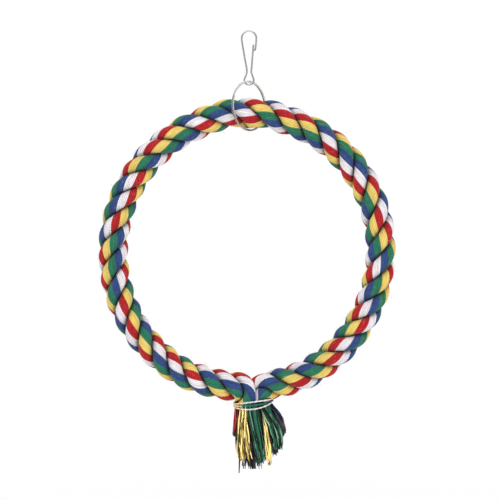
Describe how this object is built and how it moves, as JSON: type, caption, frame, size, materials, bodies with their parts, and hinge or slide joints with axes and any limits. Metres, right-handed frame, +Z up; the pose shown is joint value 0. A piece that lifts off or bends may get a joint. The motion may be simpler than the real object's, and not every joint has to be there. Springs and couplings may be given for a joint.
{
  "type": "rope swing perch",
  "caption": "Bird swing: a ring of multicoloured laid cotton rope with a bound tassel, hung by a split ring from a sprung wire hook that clips over a cage bar.",
  "frame": {"origin": "the seat of the hook: the inside of its top bend, in the middle of the wire", "axes": "+X to the right in the front view, +Y to the back, +Z up along the hang line"},
  "size_m": [0.1858, 0.0254, 0.2765],
  "materials": {
    "plated_steel": "bright nickel-plated steel wire",
    "core_steel": "plain drawn steel wire, hidden in the rope",
    "rope_cotton": "soft matt cotton in red, yellow, green, blue and white stripes",
    "binding_yarn": "tight cotton yarn",
    "red_yarn": "frayed cotton yarn",
    "yellow_yarn": "frayed cotton yarn",
    "green_yarn": "frayed cotton yarn",
    "blue_yarn": "frayed cotton yarn",
    "navy_yarn": "frayed cotton yarn",
    "white_yarn": "frayed cotton yarn",
    "grey_yarn": "frayed cotton filler yarn"
  },
  "bodies": {
    "hook": {"hook_wire": "plated_steel"},
    "gate": {"gate_leg": "plated_steel"},
    "split_ring": {"split_ring": "plated_steel"},
    "perch": {"rope_strand_1": "rope_cotton", "rope_strand_2": "rope_cotton", "rope_strand_3": "rope_cotton", "core_wire": "core_steel", "neck_binding": "binding_yarn", "tassel_navy_1": "navy_yarn", "tassel_grey_1": "grey_yarn", "tassel_blue_1": "blue_yarn", "tassel_white_1": "white_yarn", "tassel_grey_2": "grey_yarn", "tassel_green_1": "green_yarn", "tassel_red_1": "red_yarn", "tassel_yellow_1": "yellow_yarn", "tassel_yellow_2": "yellow_yarn", "tassel_green_2": "green_yarn", "tassel_yellow_3": "yellow_yarn", "tassel_green_3": "green_yarn", "tassel_grey_3": "grey_yarn", "tassel_red_2": "red_yarn", "tassel_blue_2": "blue_yarn", "tassel_grey_4": "grey_yarn"}
  },
  "joints": [
    {"name": "gate_spring", "type": "hinge", "parent": "hook", "child": "gate", "pos_m": [0.0014, 0, -0.0256], "axis": [0, -1, 0], "range_deg": [0, 14], "stiffness_Nm_per_rad": 0.15, "springref_deg": -2.86},
    {"name": "ring_swing", "type": "hinge", "parent": "hook", "child": "split_ring", "pos_m": [0, 0, -0.0303], "axis": [0, 1, 0], "range_deg": [-35, 35]},
    {"name": "perch_swing", "type": "hinge", "parent": "split_ring", "child": "perch", "pos_m": [0, 0, -0.05082], "axis": [1, 0, 0], "range_deg": [-60, 60]}
  ]
}
